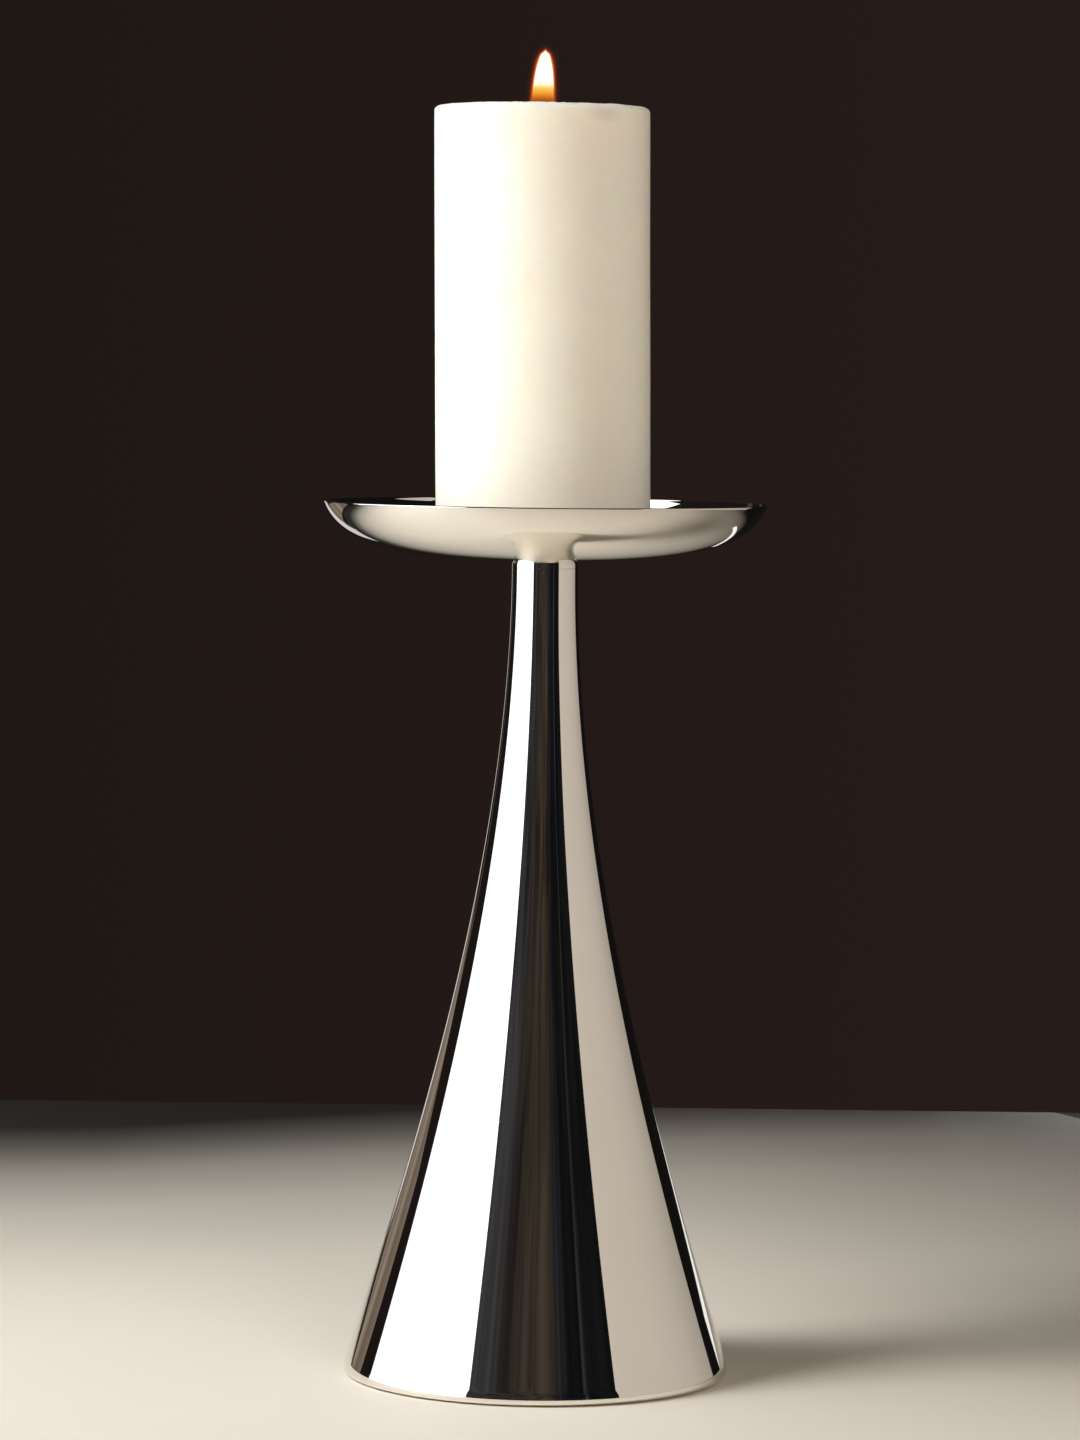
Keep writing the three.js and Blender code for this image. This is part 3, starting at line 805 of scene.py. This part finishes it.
def add_lights():
    """A broad window on the left, a cream reflector on the right, and softboxes above and in front.

    The fills are kept out of the metal. The glints and the bounce on the left show only in it.
    """
    window = add_upright("window", WINDOW_X, -1.0, 0.38, -0.02, 0.72, 13.4, SKYLIGHT)
    shape_light(window, [(0.0, 0.35), (0.25, 0.60), (0.45, 1.0), (0.62, 0.92), (0.85, 0.65), (1.0, 0.4)],
                (-1.38, 0.66, 0.40))
    reflector = add_upright("reflector", REFLECTOR_X, -0.65, 0.62, 0.0, 1.0, 2.4, CREAM)
    shape_light(reflector, [(0.0, 1.0), (0.40, 0.94), (0.65, 0.84), (0.85, 0.70), (1.0, 0.60)],
                (1.27, 1.38, 1.905))
    add_panel("transom", (-0.90, -0.20, 1.18), (0, -0.28, 0.12), 0.46, 0.30, 0.65, DAYLIGHT)
    fills = (
        add_panel("overhead_left", (-0.72, -0.3, 1.0), (-0.05, 0.12, 0.0), 0.4, 0.4, 1.9, DAYLIGHT, 70),
        add_panel("overhead_front", (0.25, -1.1, 1.0), (0, 0.1, 0.1), 0.5, 0.5, 2.2, DAYLIGHT),
        add_panel("fill_front", (0.5, -1.2, 0.55), (0, 0, 0.35), 0.5, 0.5, 4.5, CREAM),
    )
    for fill in fills:
        fill.visible_glossy = False
    glint_left = add_panel("glint_left", (-0.74, 2.49, -0.2), (0, 0, 0.1), 0.32, 1.3, 0.85, DAYLIGHT)
    glint_right = add_panel("glint_right", (0.288, 0.638, 0.0125), (-0.612, 0.203, 0.0125),
                            0.40, 0.025, 0.030, DAYLIGHT)
    bounce = add_panel("bounce_left", (-0.55, 0.71, 0.085), (0, 0, 0.085), 0.52, 0.15, 0.060, WARM_GREY)
    shape_light(bounce, [(0.0, 0.9), (0.16, 0.5), (0.3, 1.0), (0.42, 0.65), (0.6, 1.0), (0.75, 0.55),
                         (1.0, 0.8)], UNCUT)
    for shine in (glint_left, glint_right, bounce):
        shine.visible_diffuse = False


def add_world():
    """A dark room: warm behind the holder and in front of it, almost black front right.

    Its colour changes with the bearing, as a share of a turn from behind the holder round its left.
    """
    world = bpy.data.worlds.new("dark_studio")
    bpy.context.scene.world = world
    world.use_nodes = True
    nodes, links = world.node_tree.nodes, world.node_tree.links
    coordinates = nodes.new("ShaderNodeTexCoord")
    split = nodes.new("ShaderNodeSeparateXYZ")
    links.new(coordinates.outputs["Generated"], split.inputs["Vector"])
    toward_front = math_node(nodes, links, "MULTIPLY", split.outputs["Y"], -1.0)
    bearing = math_node(nodes, links, "ARCTAN2", split.outputs["X"], toward_front)
    turn = to_range(nodes, links, bearing, 0.0, 1.0, -math.pi, math.pi)
    behind, warm, black = (0.0168, 0.0104, 0.0089), (0.040, 0.031, 0.024), (0.0058, 0.0060, 0.0072)
    dim = (0.0110, 0.0078, 0.0068)
    left_rear = [
        (0.000, behind), (0.016, (0.0144, 0.0091, 0.0075)), (0.048, dim),
        (0.050, (0.075, 0.066, 0.058)), (0.058, (0.070, 0.060, 0.053)), (0.060, dim),
        (0.092, dim), (0.094, (0.075, 0.065, 0.061)), (0.104, (0.060, 0.051, 0.048)),
        (0.107, (0.0110, 0.0080, 0.0072))]
    left_front = [
        (0.350, (0.0140, 0.0115, 0.0110)), (0.385, (0.033, 0.034, 0.039)),
        (0.430, (0.028, 0.0265, 0.028)), (0.446, (0.021, 0.0185, 0.017)), (0.475, (0.032, 0.026, 0.021))]
    right_front = [
        (0.510, warm), (0.533, (0.032, 0.025, 0.0195)), (0.537, (0.0105, 0.0100, 0.0115)),
        (0.544, (0.019, 0.021, 0.027)), (0.547, (0.0085, 0.0085, 0.010)), (0.553, (0.013, 0.014, 0.018)),
        (0.556, black), (0.585, black), (0.5865, (0.050, 0.052, 0.056)), (0.5885, (0.046, 0.048, 0.052)),
        (0.590, black), (0.660, (0.0050, 0.0052, 0.0060))]
    right_rear = [
        (0.900, (0.0062, 0.0054, 0.0052)), (0.960, (0.0080, 0.0066, 0.0062)),
        (0.984, (0.0194, 0.0116, 0.0103)), (1.000, behind)]
    room = ramp(nodes, links, turn, left_rear + left_front + right_front + right_rear)
    clouds = noise_texture(nodes, links, coordinates.outputs["Generated"], 7, 4, 0.6, 0.6)
    swing = to_range(nodes, links, clouds, -0.65, 0.75, 0.3, 0.7)
    in_front = to_range(nodes, links, toward_front, 0.0, 1.0, 0.0, 0.4)
    unevenness = math_node(nodes, links, "MULTIPLY", swing, in_front)
    shade = nodes.new("ShaderNodeVectorMath")
    shade.operation = "SCALE"
    links.new(room, shade.inputs[0])
    links.new(math_node(nodes, links, "ADD", unevenness, 1.0), shade.inputs["Scale"])
    links.new(shade.outputs[0], nodes["Background"].inputs["Color"])


CAMERA_PLACE = (0, -1.95, 0.3568)
CAMERA_LENS = 137.7  # mm, on a 36 mm sensor
CAMERA_PITCH = math.radians(3.617)
CAMERA_YAW = math.radians(0.034)
CAMERA_ROLL = math.radians(0.69)


def add_camera():
    """The camera stands a little above the dish and looks slightly down."""
    data = bpy.data.cameras.new("camera")
    data.sensor_width = 36
    data.lens = CAMERA_LENS
    camera = bpy.data.objects.new("camera", data)
    camera.location = CAMERA_PLACE
    camera.rotation_mode = "XYZ"
    forward = Vector((-math.sin(CAMERA_YAW) * math.cos(CAMERA_PITCH),
                      math.cos(CAMERA_YAW) * math.cos(CAMERA_PITCH),
                      -math.sin(CAMERA_PITCH)))
    look = forward.to_track_quat("-Z", "Y")
    camera.rotation_euler = (look.to_matrix() @ Matrix.Rotation(CAMERA_ROLL, 3, "Z")).to_euler()
    bpy.context.scene.collection.objects.link(camera)
    bpy.context.scene.camera = camera


add_camera()
add_world()
add_table()
add_lights()
bpy.context.scene.view_settings.view_transform = "Standard"
add_pieces()
repaint_frame()
